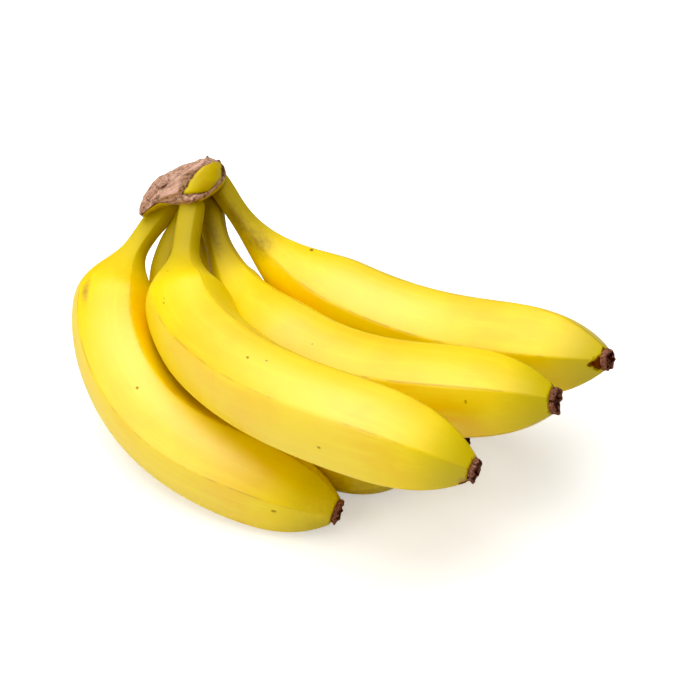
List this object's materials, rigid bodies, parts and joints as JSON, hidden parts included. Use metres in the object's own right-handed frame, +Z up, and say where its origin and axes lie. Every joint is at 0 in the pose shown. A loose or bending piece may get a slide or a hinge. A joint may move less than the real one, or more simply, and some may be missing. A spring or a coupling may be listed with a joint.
{
  "type": "bunch of bananas",
  "caption": "Bunch of ripe yellow bananas joined at one cut crown, lying on the backs of its lower fruits, with dark dry blossom ends at the tips.",
  "frame": {"origin": "middle of the bunch's outline on the surface that it lies on", "axes": "+X from the crown towards the tips, +Y away from the nearest banana, +Z up"},
  "size_m": [0.2356, 0.1815, 0.1042],
  "materials": {
    "peel": "smooth waxy ripe banana peel, satin",
    "crown_skin": "olive-yellow skin with a dry brown corky cut, matt",
    "dry_end": "dry dark brown flower remnant, rough and fibrous"
  },
  "bodies": {
    "root": {"crown": "crown_skin", "banana_1": "peel", "banana_2": "peel", "banana_3": "peel", "banana_4": "peel", "banana_5": "peel", "banana_6": "peel", "blossom_end_1": "dry_end", "blossom_end_2": "dry_end", "blossom_end_3": "dry_end", "blossom_end_4": "dry_end", "blossom_end_5": "dry_end", "blossom_end_6": "dry_end"}
  },
  "joints": []
}
